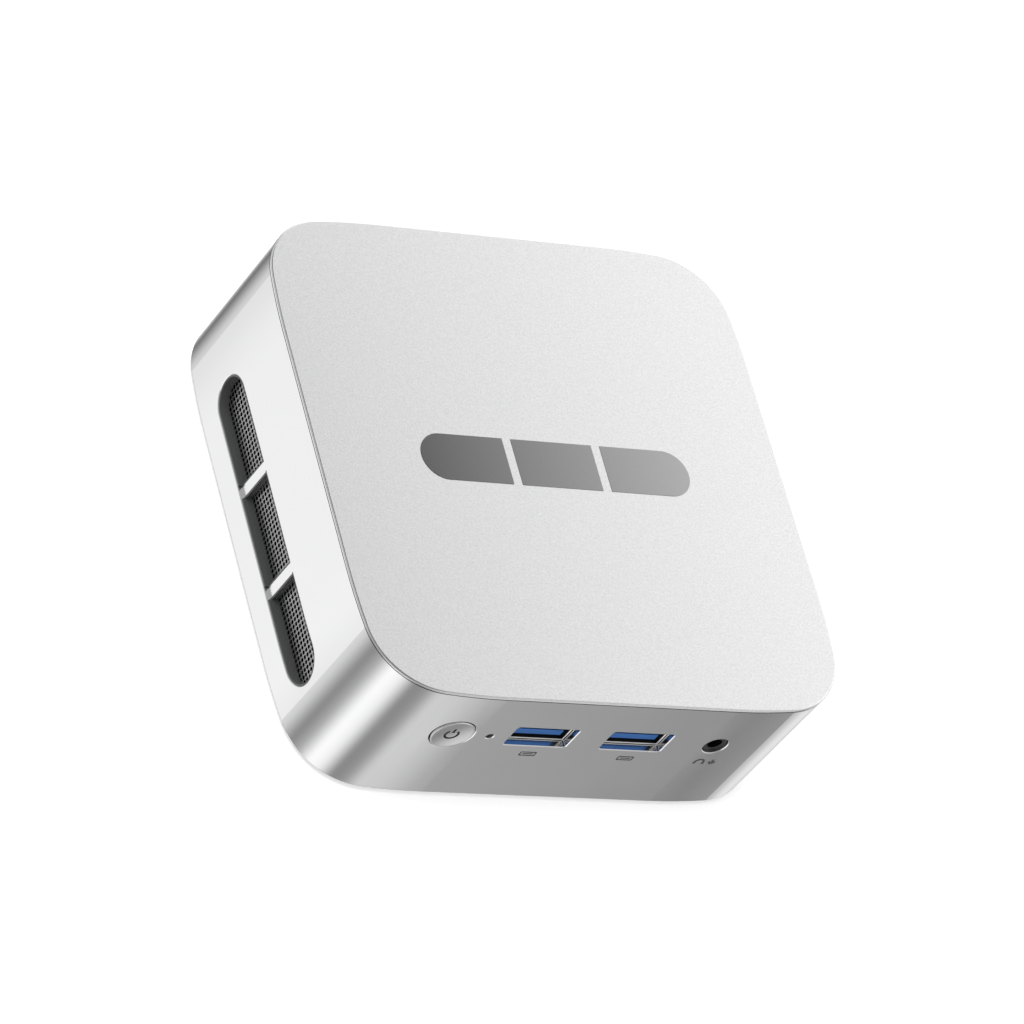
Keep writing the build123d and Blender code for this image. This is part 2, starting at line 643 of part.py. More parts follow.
def heatsink():
    sink = block((-SINK_X, SINK_X), (-SINK_Y, SINK_Y), (SINK_BASE, SINK_TOP))
    first = -(FIN_COUNT - 1) / 2 * FIN_PITCH
    for number in range(FIN_COUNT):
        y = first + number * FIN_PITCH
        sink += block((-FIN_HALF_LENGTH, FIN_HALF_LENGTH), (y - FIN_T / 2, y + FIN_T / 2),
                      (FIN_BOTTOM, SINK_BASE))
    for sx, sy in CORNERS:
        sink += post(sx * FAN_EAR_X, sy * FAN_EAR_Y, 3.0, FAN_TOP, SINK_BASE)
        sink -= post(sx * FAN_EAR_X, sy * FAN_EAR_Y, SMALL_THREAD_R + SCREW_CLEAR, FAN_TOP - 1, 21.0)
        sink += post(sx * SINK_SCREW, sy * SINK_SCREW, 3.0, SINK_TOP, BOARD_BOTTOM)
        sink -= post(sx * SINK_SCREW, sy * SINK_SCREW, SMALL_THREAD_R + SCREW_CLEAR, 25.5, BOARD_BOTTOM + 1)
    for y in (-PIPE_Y, PIPE_Y):
        sink -= upward(Pos(0, y) * SlotOverall(PIPE_LENGTH, PIPE_W), SINK_TOP - PIPE_H, SINK_TOP + 0.1)
    return sink


def heat_pipes():
    return Compound([
        upward(Pos(0, y) * SlotOverall(PIPE_LENGTH, PIPE_W), SINK_TOP - PIPE_H, SINK_TOP)
        for y in (-PIPE_Y, PIPE_Y)
    ])


def heatsink_screws():
    return Compound([
        screw(sx * SINK_SCREW, sy * SINK_SCREW, BOARD_TOP, 1, 2.3, 1.4, SMALL_THREAD_R, 6.2)
        for sx, sy in CORNERS
    ])


def fan_housing():
    housing = upward(Circle(FAN_RING_R) - Circle(FAN_BORE_R), FAN_BOTTOM, FAN_TOP)
    for sx, sy in CORNERS:
        x, y = sx * FAN_EAR_X, sy * FAN_EAR_Y
        reach = hypot(x, y)
        arm = Rot(0, 0, degrees(atan2(y, x))) * Pos((reach + FAN_BORE_R) / 2, 0)
        strip = Rectangle(reach - FAN_BORE_R - 0.6, 2 * FAN_EAR_R)
        ear = upward(arm * strip + Pos(x, y) * Circle(FAN_EAR_R), FAN_TOP - 2, FAN_TOP)
        housing += ear - post(0, 0, FAN_BORE_R + 0.4, FAN_TOP - 3, FAN_TOP + 1)
        housing -= post(x, y, 1.3, FAN_TOP - 3, FAN_TOP + 1)
    spoke = block((HUB_R - 1, FAN_BORE_R + 0.5), (-1.5, 1.5), (FAN_BOTTOM, FAN_BOTTOM + 1.2))
    for turn in range(4):
        housing += Rot(0, 0, 45 + 90 * turn) * spoke
    housing += post(0, 0, HUB_R + 0.5, FAN_BOTTOM, FAN_BOTTOM + 1.2)
    housing += post(0, 0, 3.0, FAN_BOTTOM, 10.4)
    return housing - post(0, 0, 2.0, FAN_BOTTOM + 1.0, 11)


def fan_bearing():
    return post(0, 0, 2.0, FAN_BOTTOM + 1.0, 10.4) - post(0, 0, SHAFT_R + SHAFT_FIT, FAN_BOTTOM, 11)


def fan_shaft():
    return post(0, 0, SHAFT_R, FAN_BOTTOM + 1.4, 11.6)


def fan_blade():
    """A pitched blade, narrow and steep at the hub, wide and flatter at its tip."""
    def section(reach, chord, pitch):
        plane = Plane((reach, 0, 9.1), x_dir=(0, cos(radians(pitch)), sin(radians(pitch))), z_dir=(1, 0, 0))
        return plane * RectangleRounded(chord, 1.0, 0.4)

    return loft([section(HUB_R - 0.6, 8.4, 38), section(BLADE_TIP, 12.5, 26)])


def fan_rotor():
    rotor = post(0, 0, HUB_R, 6.0, 12.2) - post(0, 0, HUB_R - 1.2, 5, 11.0)
    rotor = fillet(rotor.edges().sort_by(Axis.Z)[-1], 0.6)
    inside = post(0, 0, HUB_R - 0.6, 5, 13)
    blade = fan_blade() - inside
    for turn in range(BLADE_COUNT):
        rotor += Rot(0, 0, 360 / BLADE_COUNT * turn) * blade
    return rotor - post(0, 0, SHAFT_R, 10, 11.6)


def fan_magnet():
    return upward(Circle(HUB_R - 1.2) - Circle(HUB_R - 2.7), 6.4, 10.8)


def fan_stator():
    """Four-pole core pushed over the bearing tube."""
    core = Circle(5.0)
    for turn in range(4):
        pole = Pos(6.6, 0) * Rectangle(4.4, 2.6) + (Circle(9.6) - Circle(8.4)) & (Pos(9, 0) * Rectangle(4, 9))
        core += Rot(0, 0, 90 * turn) * (pole + Pos(6.6, 0) * Rectangle(4.4, 2.6))
    return upward(core - Circle(3.0), 6.6, 9.8)


def fan_screws():
    return Compound([
        screw(sx * FAN_EAR_X, sy * FAN_EAR_Y, FAN_TOP - 2, -1, 2.2, 1.4, SMALL_THREAD_R, 9.0)
        for sx, sy in CORNERS
    ])


def lead(points, diameter):
    """A round lead along straight runs joined by arcs as large as the runs allow."""
    corners = [Vector(*point) for point in points]
    radii = []
    for before, here, after in zip(corners, corners[1:], corners[2:]):
        turn = (here - before).get_angle(after - here)
        shorter = min((here - before).length, (after - here).length)
        radii.append(0.45 * shorter / tan(radians(turn / 2)))
    path = FilletPolyline(*corners, radius=radii)
    section = Plane(path @ 0, z_dir=path % 0) * Circle(diameter / 2)
    tube = sweep(section, path=path)
    print("lead: radii", [round(r, 1) for r in radii], "length", round(path.length, 1))
    return tube


def fan_lead():
    return lead([
        (34.9, -8, 9.6), (41.5, -10.5, 9.9), (47.5, -16, 11.6), (51.5, -23, 15.6),
        (52.2, -30, 20.4), (50.2, -34, 24.2), (49.2, -35, 27.2),
    ], 1.6)


def fan_connector():
    x, y = FAN_PLUG
    return block((x - 4, x + 4), (y - 2.2, y + 2.2), (27.6, BOARD_BOTTOM))


# ---------------------------------------------------------------- memory, drive and radio

def memory_socket():
    bar = block((-36.5, 36.5), (-30, -24), (BOARD_TOP, 36.4))
    for side in (-1, 1):
        bar += block(sorted((side * 35.0, side * 36.5)), (-24, 2), (BOARD_TOP, 36.0))
    return bar - block((-34.85, 34.85), (-27.6, -20), (CARD_Z - 0.05, CARD_Z + 1.05))


def memory_module():
    module = block((-34.8, 34.8), (-27.5, 2.3), (CARD_Z, CARD_Z + 1.0))
    for step in range(4):
        x = -26 + step * 17.4
        module += block((x - 5.5, x + 5.5), (-19, -7), (CARD_Z + 0.9, CARD_Z + 2.0))
    return module


def card_socket(x, y):
    """Edge socket; x is the card's inner end."""
    bar = block((x - 4.5, x + 1.8), (y - CARD_W / 2 - 0.6, y + CARD_W / 2 + 0.6), (BOARD_TOP, CARD_Z + 1.8))
    return bar - block((x - 0.1, x + 3), (y - CARD_W / 2 - 0.05, y + CARD_W / 2 + 0.05),
                       (CARD_Z - 0.05, CARD_Z + CARD_T + 0.05))


def card_sockets():
    return Compound([card_socket(DRIVE_X[0], DRIVE_Y), card_socket(RADIO_X[0], RADIO_Y)])


def card_ends():
    return ((DRIVE_X[1], DRIVE_Y), (RADIO_X[1], RADIO_Y))


def card_standoffs():
    return Compound([
        post(x, y, 2.4, BOARD_TOP, CARD_Z) - post(x, y, SMALL_THREAD_R + SCREW_CLEAR, BOARD_TOP, CARD_Z + 1)
        for x, y in card_ends()
    ])


def card_screws():
    return Compound([
        screw(x, y, CARD_Z + CARD_T, 1, 2.2, 0.8, SMALL_THREAD_R, 2.6) for x, y in card_ends()
    ])


def card(ends, y, chips):
    """A plug-in card with a half-round screw notch in its far end."""
    plate = block(ends, (y - CARD_W / 2, y + CARD_W / 2), (CARD_Z, CARD_Z + CARD_T))
    plate -= post(ends[1], y, 1.8, CARD_Z - 1, CARD_Z + 2)
    for x, length, width in chips:
        limits = (x - length / 2, x + length / 2), (y - width / 2, y + width / 2)
        plate += block(*limits, (CARD_Z + CARD_T - 0.1, CARD_Z + CARD_T + 1.1))
    return plate


def drive_module():
    return card(DRIVE_X, DRIVE_Y, ((-27, 12, 14), (-8, 14, 18), (14, 14, 18)))


def wireless_card():
    return card(RADIO_X, RADIO_Y, ((3, 18, 17),))


def antennas():
    return Compound([
        block(sorted((side * (INNER - 0.05), side * (INNER - 0.4))), (-16, 16), (33.0, 38.0))
        for side in (-1, 1)
    ])


def antenna_lead(side):
    top = CARD_Z + CARD_T + 2.9
    return lead([
        (3 + side * 6, 37, 37.2), (3 + side * 10, 36, top - 0.2), (3 + side * 20, 32.6, top),
        (side * 34, 27, top - 0.2), (side * 46, 17, 37.4), (side * 56, 13, 36.2), (side * 61.0, 8.6, 35.4),
    ], 1.1)


def antenna_leads():
    return Compound([antenna_lead(side) for side in (-1, 1)])


def all_parts():
    parts = {
        "case_shell": case_shell(),
        "top_lid": top_lid(),
        "lid_emblem": lid_emblem(),
        "bottom_cover": bottom_cover(),
        "rubber_feet": rubber_feet(),
        "bottom_screws": bottom_screws(),
        "mount_inserts": mount_inserts(),
        "dust_filter": dust_filter(),
        "power_button": power_button(),
        "button_retainer": button_retainer(),
        "retainer_screws": retainer_screws(),
        "power_switch": power_switch(),
        "switch_plunger": switch_plunger(),
        "light_pipe": light_pipe(),
        "status_led": status_led(),
        "audio_jack": audio_jack(),
        "video_port_shells": video_port_shells(),
        "video_port_tongues": video_port_tongues(),
        "network_shell": network_shell(),
        "network_insert": network_insert(),
        "power_inlet": power_inlet(),
        "power_inlet_pin": power_inlet_pin(),
        "mainboard": mainboard(),
        "board_screws": board_screws(),
        "processor": processor(),
        "thermal_pad": thermal_pad(),
        "cold_plate": cold_plate(),
        "power_inductors": power_inductors(),
        "coin_cell": coin_cell(),
        "heatsink": heatsink(),
        "heat_pipes": heat_pipes(),
        "heatsink_screws": heatsink_screws(),
        "fan_housing": fan_housing(),
        "fan_bearing": fan_bearing(),
        "fan_shaft": fan_shaft(),
        "fan_rotor": fan_rotor(),
        "fan_magnet": fan_magnet(),
        "fan_stator": fan_stator(),
        "fan_screws": fan_screws(),
        "fan_lead": fan_lead(),
        "fan_connector": fan_connector(),
        "memory_socket": memory_socket(),
        "memory_module": memory_module(),
        "card_sockets": card_sockets(),
        "card_standoffs": card_standoffs(),
        "card_screws": card_screws(),
        "drive_module": drive_module(),
        "wireless_card": wireless_card(),
        "antennas": antennas(),
        "antenna_leads": antenna_leads(),
    }
    for name, side in (("left", -1), ("right", 1)):
        parts["vent_liner_" + name] = vent_liner(side)
        parts["vent_mesh_" + name] = vent_mesh(side)
        x = FRONT_USB_X[name]
        parts["front_usb_shell_" + name] = usb_shell(x, USB_Z, -1)
        parts["front_usb_tongue_" + name] = usb_tongue(x, USB_Z, -1)
    parts["rear_usb_shells"] = Compound([usb_shell(REAR_USB_X, z, 1) for z in REAR_USB_Z])
    parts["rear_usb_tongues"] = Compound([usb_tongue(REAR_USB_X, z, 1) for z in REAR_USB_Z])
    return parts


os.makedirs("parts", exist_ok=True)
for node, shape in all_parts().items():
    export_step(shape, "parts/" + node + ".step")
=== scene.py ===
# %% [markdown]
# # A small silver desktop computer
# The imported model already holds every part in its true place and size. This notebook gives those parts their
# finishes, makes again the pieces whose looks need more than a plain solid, and sets up a plain white studio.

# %% Load the frame
import math

import bmesh
import bpy
from mathutils import Matrix, Vector


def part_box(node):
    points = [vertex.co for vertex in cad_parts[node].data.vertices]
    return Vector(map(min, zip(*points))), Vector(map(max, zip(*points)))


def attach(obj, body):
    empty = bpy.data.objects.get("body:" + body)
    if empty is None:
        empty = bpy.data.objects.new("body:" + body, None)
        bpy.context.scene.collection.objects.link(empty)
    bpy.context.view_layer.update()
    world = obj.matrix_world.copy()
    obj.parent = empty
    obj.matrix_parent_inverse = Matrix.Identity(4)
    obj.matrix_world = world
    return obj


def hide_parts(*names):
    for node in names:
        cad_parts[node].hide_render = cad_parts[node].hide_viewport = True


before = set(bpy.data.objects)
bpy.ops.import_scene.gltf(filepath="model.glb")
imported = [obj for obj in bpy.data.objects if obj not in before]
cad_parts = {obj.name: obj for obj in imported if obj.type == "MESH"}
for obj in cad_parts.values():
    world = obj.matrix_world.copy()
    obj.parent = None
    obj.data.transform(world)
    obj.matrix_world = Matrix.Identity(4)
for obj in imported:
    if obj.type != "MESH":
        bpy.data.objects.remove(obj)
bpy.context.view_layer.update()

MM = 0.001

# %% [markdown]
# ## Camera
# A long lens keeps the sides of a small box nearly parallel. The camera looks down on the front left corner
# and is rolled a little, so its direction is kept as a forward and an up vector instead of a target.

# %% Camera
EYE = Vector((-727.75, -649.84, 974.61)) * MM
FORWARD = Vector((0.53367, 0.47667, -0.69855)).normalized()
UP = Vector((-0.06081, 0.84551, 0.53049))
LENS_MM = 206.87

side = FORWARD.cross(UP).normalized()
true_up = side.cross(FORWARD)
turn = Matrix((side, true_up, -FORWARD)).transposed()
lens = bpy.data.cameras.new("studio_camera")
lens.lens = LENS_MM
lens.clip_start = 0.01
camera = bpy.data.objects.new("studio_camera", lens)
camera.matrix_world = Matrix.Translation(EYE) @ turn.to_4x4()
bpy.context.scene.collection.objects.link(camera)
bpy.context.scene.camera = camera
bpy.context.scene.view_settings.view_transform = "Standard"
print("camera", [round(c, 3) for c in camera.location], "lens", LENS_MM)

# %% [markdown]
# ## Arithmetic on shader sockets
# A finish is easier to read as a sum than as a page of linked boxes. `Signal` wraps a socket, and an
# expression such as `1 - grain * 0.2` adds the Math nodes that it stands for. Every other kind of node comes
# from one method, `add`, which takes the node's type, its settings and what its sockets hold.

# %% Signals and trees
def feed(tree, plug, value):
    """Links a signal or a socket to an input, or sets the input to a plain value."""
    if isinstance(value, Signal):
        value = value.socket
    if isinstance(value, bpy.types.NodeSocket):
        tree.links.new(value, plug)
    else:
        plug.default_value = value


class Signal:
    """A number that varies over a surface or over the sky."""

    def __init__(self, tree, socket):
        self.tree, self.socket = tree, socket

    def math(self, operation, *terms):
        node = self.tree.nodes.new("ShaderNodeMath")
        node.operation = operation
        for plug, term in zip(node.inputs, terms):
            feed(self.tree, plug, term)
        return Signal(self.tree, node.outputs[0])

    def __add__(self, other):
        return self.math("ADD", self, other)

    def __sub__(self, other):
        return self.math("SUBTRACT", self, other)

    def __rsub__(self, other):
        return self.math("SUBTRACT", other, self)

    def __mul__(self, other):
        return self.math("MULTIPLY", self, other)

    def __truediv__(self, other):
        return self.math("DIVIDE", self, other)

    def __pow__(self, other):
        return self.math("POWER", self, other)

    def __gt__(self, other):
        return self.math("GREATER_THAN", self, other)

    def __lt__(self, other):
        return self.math("LESS_THAN", self, other)

    __radd__, __rmul__ = __add__, __mul__


class Tree:
    """A node tree with the two ways of adding to it."""

    def __init__(self, tree):
        self.tree = tree

    def add(self, kind, settings=None, **sockets):
        """A node; a setting is an attribute, and a socket is named with _ for a space."""
        node = self.tree.nodes.new(kind)
        for name, value in (settings or {}).items():
            setattr(node, name, value)
        for name, value in sockets.items():
            feed(self.tree, node.inputs[name.replace("_", " ")], value)
        return node

    def signal(self, node, output=0):
        return Signal(self.tree, node.outputs[output])

    def ramp(self, factor, stops):
        """A signal from 0 to 1 turned into grey levels, given as (place, level) pairs."""
        node = self.add("ShaderNodeValToRGB", Fac=factor)
        elements = node.color_ramp.elements
        while len(elements) < len(stops):
            elements.new(0.5)
        for element, (place, level) in zip(elements, stops):
            element.position = place
            element.color = (level, level, level, 1)
        return self.signal(node)

    def between(self, value, low, high, at_low=0.0, at_high=1.0):
        """A value read off a straight line between two ends, and held beyond them."""
        node = self.add("ShaderNodeMapRange", Value=value)
        for name, number in zip(("From Min", "From Max", "To Min", "To Max"), (low, high, at_low, at_high)):
            node.inputs[name].default_value = number
        return self.signal(node)

    def mix_colour(self, factor, first, second):
        node = self.add("ShaderNodeMix", {"data_type": "RGBA"})
        feed(self.tree, node.inputs[0], factor)
        feed(self.tree, node.inputs[6], first)
        feed(self.tree, node.inputs[7], second)
        return node.outputs[2]


# %% [markdown]
# ## Studio
# A satin metal box is mostly a picture of what stands round it, so the studio is designed as a sky: a ring of
# soft panels seen below the horizon by the upright sides, and one large graded panel above, seen by the lid.
# The rest of the dome is soft grey, with a darker card overhead. The rounded edge of the lid sweeps over all
# of it, which draws a fine dark line and a light one along the edge.

# %% Sky of soft panels
# Each pair is a compass direction in degrees, counted from +X towards +Y, and a panel's brightness.
LOW_PANELS = (
    (0, 1.00), (20, 0.70), (40, 1.00), (60, 0.95), (79, 0.10), (99, 0.42), (119, 0.84), (130, 1.10),
    (140, 1.14), (147, 1.24), (151, 0.90), (161, 0.72), (181, 0.26), (201, 0.52), (221, 1.32), (240, 1.12),
    (259, 0.26), (281, 0.38), (299, 0.76), (309, 0.92), (315, 0.64), (319, 0.42), (322, 0.20), (331, 0.16),
    (335, 0.42), (342, 0.78), (360, 1.00),
)
HIGH_PANELS = ((0, 0.80), (100, 0.80), (145, 0.54), (200, 0.42), (255, 0.42), (307, 0.68), (360, 0.80))
BRIGHTEST = 1.4
OVERHEAD_CARD = (54.0, 60.0)
OVERHEAD_LEVEL = 0.22
# The lid's panel: places across it in degrees from its middle, each with its brightness. The grading runs
# across a slope given as the weights of elevation and azimuth, and the panel fades out between two angles
# from its middle.
LID_PANEL = (
    (-40, 0.80), (-28, 0.80), (-21, 0.0), (-12.4, 0.0), (12.4, 1.84), (21, 1.84), (28, 0.9), (40, 0.9),
)
LID_PANEL_AZIMUTH, LID_PANEL_ELEVATION = 41.8, 44.3
LID_PANEL_SLOPE = (-0.95, -0.31)
LID_PANEL_REACH = 40.0
LID_PANEL_BRIGHTEST = 1.9
LID_PANEL_FADE = (44.0, 35.0)

world = bpy.data.worlds.new("studio_sky")
world.use_nodes = True
world.node_tree.nodes.clear()
bpy.context.scene.world = world
sky = Tree(world.node_tree)

ray = sky.add("ShaderNodeSeparateXYZ", Vector=sky.add("ShaderNodeTexCoord").outputs["Generated"])
east, north, rise = (sky.signal(ray, axis) for axis in range(3))
turns = east.math("ARCTAN2", north, east) / (2 * math.pi)
turns = turns + (turns < 0)
azimuth = turns * 360
low, beyond = (
    sky.ramp(turns, [(degrees / 360, level / BRIGHTEST) for degrees, level in panels]) * BRIGHTEST
    for panels in (LOW_PANELS, HIGH_PANELS)
)

elevation = rise.math("ARCSINE", rise) * (180 / math.pi)
across = (elevation - LID_PANEL_ELEVATION) * LID_PANEL_SLOPE[0]
across = across + (azimuth - LID_PANEL_AZIMUTH) * LID_PANEL_SLOPE[1]
lid_stops = [
    ((degrees / LID_PANEL_REACH + 1) / 2, level / LID_PANEL_BRIGHTEST) for degrees, level in LID_PANEL
]
graded = sky.ramp(sky.between(across, -LID_PANEL_REACH, LID_PANEL_REACH), lid_stops) * LID_PANEL_BRIGHTEST
heading, lift = math.radians(LID_PANEL_AZIMUTH), math.radians(LID_PANEL_ELEVATION)
closeness = east * (math.cos(lift) * math.cos(heading)) + north * (math.cos(lift) * math.sin(heading))
closeness = closeness + rise * math.sin(lift)
in_panel = sky.between(closeness, *(math.cos(math.radians(degrees)) for degrees in LID_PANEL_FADE))
overhead = sky.between(elevation, *OVERHEAD_CARD)
high = (graded * in_panel + beyond * (1 - in_panel)) * (1 - overhead) + overhead * OVERHEAD_LEVEL
above = rise > 0
glow = sky.add("ShaderNodeBackground", Color=(1, 1, 1, 1), Strength=low * (1 - above) + high * above)
sky.add("ShaderNodeOutputWorld", Surface=glow.outputs[0])
print("sky with", len(LOW_PANELS), "low panel stops")

# %% [markdown]
# ## Building finishes
# Every surface gets its finish from nodes that vary it over the piece: grain, flecks, machining lines or
# moulded texture, each at its real size. `Finish` wraps one Principled shader. It reads Object coordinates,
# which are metres here, so a grain size can be given in millimetres.

# %% Finish builder
class Finish(Tree):
    """A Principled finish for one kind of surface, built up node by node."""

    def __init__(self, name, colour, roughness, metallic=0.0, **constants):
        self.material = bpy.data.materials.new(name)
        self.material.use_nodes = True
        super().__init__(self.material.node_tree)
        self.shader = self.tree.nodes["Principled BSDF"]
        self.place = self.add("ShaderNodeTexCoord").outputs["Object"]
        self.colour = (*colour, 1.0)
        self.set(Base_Color=self.colour, Roughness=roughness, Metallic=metallic, **constants)

    def set(self, **sockets):
        for name, value in sockets.items():
            feed(self.tree, self.shader.inputs[name.replace("_", " ")], value)

    def axes(self):
        """The place on the piece as three signals in millimetres."""
        node = self.add("ShaderNodeSeparateXYZ", Vector=self.place)
        return [self.signal(node, axis) / MM for axis in range(3)]

    def noise(self, size_mm, detail=2.0, stretch=(1, 1, 1)):
        """Soft random grain, with grains about this large, longer along a stretched axis."""
        scaled = self.add("ShaderNodeMapping", Vector=self.place)
        scaled.inputs["Scale"].default_value = [1 / (size_mm * MM * length) for length in stretch]
        node = self.add("ShaderNodeTexNoise", Vector=scaled.outputs[0], Scale=1.0, Detail=detail)
        return self.signal(node, "Fac")

    def shade(self, amount, grain, colour=None):
        """A colour made lighter and darker by up to amount, following a grain."""
        middle = colour or self.colour
        dark = [channel * (1 - amount) for channel in middle[:3]] + [1.0]
        light = [min(1.0, channel * (1 + amount)) for channel in middle[:3]] + [1.0]
        return self.mix_colour(grain, dark, light)

    def bump(self, height, depth_mm, strength=1.0):
        node = self.add("ShaderNodeBump", Height=height, Distance=depth_mm * MM, Strength=strength)
        self.set(Normal=node.outputs[0])


def paint(finish, *names):
    """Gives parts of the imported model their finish."""
    for name in names:
        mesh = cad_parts[name].data
        mesh.materials.clear()
        mesh.materials.append(finish.material)
    print(finish.material.name, "on", ", ".join(names))


# %% [markdown]
# ## Satin silver case
# The case is cast and machined aluminium with a satin silver coat. It has an even grain too fine to count, and
# a slow drift in roughness that keeps a wide reflection from looking printed on. The lid is blasted a little
# coarser, which gives it a soft sparkle, so its grain also moves the surface.

# %% Case and lid
def make_silver(name, roughness, grain_mm, sparkle, grain_depth_mm):
    finish = Finish(name, (0.80, 0.80, 0.803), roughness, 1.0)
    grain = finish.noise(grain_mm, 3.0)
    drift = finish.noise(18.0)
    finish.set(Base_Color=finish.shade(sparkle, grain), Roughness=roughness + (drift - 0.5) * 0.03)
    finish.bump(grain, grain_depth_mm, 0.35)
    return finish


paint(make_silver("case_silver", 0.21, 0.25, 0.03, 0.003), "case_shell", "power_button")
paint(make_silver("lid_silver", 0.24, 0.26, 0.22, 0.003), "top_lid")

# %% [markdown]
# ## Emblem
# The mark on the lid is a thin print in dark metallic ink. Its colour is graded along the mark, dark at the
# left end and light at the right, a painted shade and a painted highlight for the light falling across the lid,
# and a fine fleck keeps it from looking like a painted area.

# %% Emblem ink
# Painted shade at the left end of the mark and painted highlight at the right end.
LEFT_PAINTED_SHADE, RIGHT_PAINTED_HIGHLIGHT = 0.135, 0.45
FLECK_GREY = (0.93, 0.93, 0.93, 1.0)
emblem_low, emblem_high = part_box("lid_emblem")
ink = Finish("emblem_ink", (0.25, 0.25, 0.255), 0.34, 0.75)
# The painted light runs along the mark from its left end to its right end.
along = ink.between(ink.axes()[0], emblem_low[0] / MM, emblem_high[0] / MM)
painted_light_ink = ink.mix_colour(along, [LEFT_PAINTED_SHADE] * 3 + [1.0], [RIGHT_PAINTED_HIGHLIGHT] * 3 + [1.0])
fleck = ink.add("ShaderNodeMix", {"data_type": "RGBA", "blend_type": "MULTIPLY"})
for plug, value in zip((0, 6, 7), (1.0, painted_light_ink, ink.shade(0.12, ink.noise(0.2), FLECK_GREY))):
    feed(ink.tree, fleck.inputs[plug], value)
ink.set(Base_Color=fleck.outputs[2])
paint(ink, "lid_emblem")

# %% [markdown]
# ## Plastics and rubber
# Moulded plastic copies the spark-eroded texture of its mould, a shallow random leather. Rubber is rougher,
# and a little mottled like the rest. One function makes them all, because they differ only in
# colour, gloss and the size and depth of that texture.

# %% Moulded pieces
def make_moulded(name, colour, roughness, texture_mm=0.35, depth_mm=0.02, mottling=0.12):
    finish = Finish(name, colour, roughness)
    texture = finish.noise(texture_mm, 3.0)
    drift = finish.noise(9.0)
    finish.set(Base_Color=finish.shade(mottling, drift), Roughness=roughness + (texture - 0.5) * 0.12)
    finish.bump(texture, depth_mm, 0.5)
    return finish


black_plastic = make_moulded("black_plastic", (0.018, 0.018, 0.019), 0.48)
paint(black_plastic, "bottom_cover", "button_retainer", "power_switch", "fan_connector", "memory_socket",
      "card_sockets", "network_insert", "power_inlet")
paint(make_moulded("jack_plastic", (0.005, 0.005, 0.006), 0.42, 0.5, 0.004), "audio_jack", "video_port_tongues")
paint(make_moulded("fan_plastic", (0.022, 0.022, 0.023), 0.42), "fan_housing", "fan_rotor")
paint(make_moulded("liner_grey", (0.075, 0.076, 0.078), 0.42, 0.5, 0.006, 0.05), "vent_liner_left",
      "vent_liner_right")
paint(make_moulded("foot_rubber", (0.030, 0.030, 0.031), 0.78, 0.5, 0.05), "rubber_feet")
paint(make_moulded("switch_button_plastic", (0.42, 0.42, 0.40), 0.4), "switch_plunger")
paint(make_moulded("smoked_plastic", (0.008, 0.008, 0.009), 0.30, 2.0, 0.002), "light_pipe")
paint(make_moulded("led_body", (0.70, 0.69, 0.62), 0.35), "status_led")
paint(make_moulded("lead_black", (0.02, 0.02, 0.02), 0.5, 0.8, 0.03), "fan_lead", "antenna_leads")
paint(make_moulded("port_blue", (0.001, 0.110, 0.40), 0.45, 0.6, 0.004, 0.06), "front_usb_tongue_left",
      "front_usb_tongue_right", "rear_usb_tongues")

# %% [markdown]
# ## Bare metals
# Drawn, turned and extruded metals carry lines along the way they were worked. Noise stretched along one axis
# gives such lines, and it varies the roughness and the height of the surface together.

# %% Metals
def make_metal(name, colour, roughness, line_mm=0.15, stretch=(1, 1, 1), depth_mm=0.004):
    finish = Finish(name, colour, roughness, 1.0)
    lines = finish.noise(line_mm, 2.0, stretch)
    stain = finish.noise(6.0)
    finish.set(Base_Color=finish.shade(0.10, stain), Roughness=roughness + (lines - 0.5) * 0.16)
    finish.bump(lines, depth_mm, 0.5)
    return finish


paint(make_metal("port_steel", (0.62, 0.61, 0.60), 0.26, 0.1, (1, 14, 1)), "rear_usb_shells",
      "video_port_shells", "network_shell")
paint(make_metal("screw_steel", (0.60, 0.59, 0.57), 0.32), "retainer_screws", "board_screws",
      "heatsink_screws", "fan_screws", "card_screws")
paint(make_metal("turned_brass", (0.78, 0.56, 0.24), 0.30, 0.1, (12, 12, 1)), "mount_inserts", "card_standoffs",
      "fan_bearing")
paint(make_metal("copper", (0.78, 0.37, 0.22), 0.30, 0.12, (16, 1, 1)), "cold_plate", "heat_pipes")
paint(make_metal("fin_aluminium", (0.75, 0.75, 0.76), 0.36, 0.1, (30, 1, 1), 0.008), "heatsink")
paint(make_metal("shaft_steel", (0.70, 0.70, 0.70), 0.18, 0.1, (1, 1, 12)), "fan_shaft", "coin_cell")
paint(make_metal("pin_metal", (0.80, 0.66, 0.36), 0.24), "power_inlet_pin")
paint(make_metal("ferrite", (0.10, 0.10, 0.10), 0.55, 0.3), "fan_magnet", "power_inductors", "fan_stator")

# %% [markdown]
# ## Front port sleeves
# The steel sleeve of each front port is bright only at its folded lip. Deeper in it lies in the port's own
# shadow, which is painted
# into its colour: the colour falls to nearly black just behind the lip.

# %% Sleeves
# The painted shadow starts this far behind the lip and is full this far behind it.
LIP_MM, FULL_SHADOW_MM = 0.03, 0.12
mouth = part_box("front_usb_shell_left")[0][1] / MM
sleeve = Finish("sleeve_steel", (0.75, 0.75, 0.75), 0.25, 1.0)
shadow_fade = sleeve.between(sleeve.axes()[1], mouth + LIP_MM, mouth + FULL_SHADOW_MM)
scratches = sleeve.noise(0.1, 2.0, (1, 14, 1))
# Near-white at the lip, then a painted shadow of nearly black deeper in the port.
sleeve.set(Base_Color=sleeve.mix_colour(shadow_fade, [0.96, 0.96, 0.95, 1.0], [0.008, 0.008, 0.009, 1.0]))
sleeve.set(Roughness=0.2 + shadow_fade * 0.35 + (scratches - 0.5) * 0.1, Metallic=0.15 + shadow_fade * 0.8)
paint(sleeve, "front_usb_shell_left", "front_usb_shell_right")

# %% [markdown]
# ## Circuit boards and chips
# A board is green lacquer over copper. The tracks show through as a slightly lighter pattern of straight runs,
# which cells of a square Voronoi texture give well enough for a surface that is only seen with the case open.

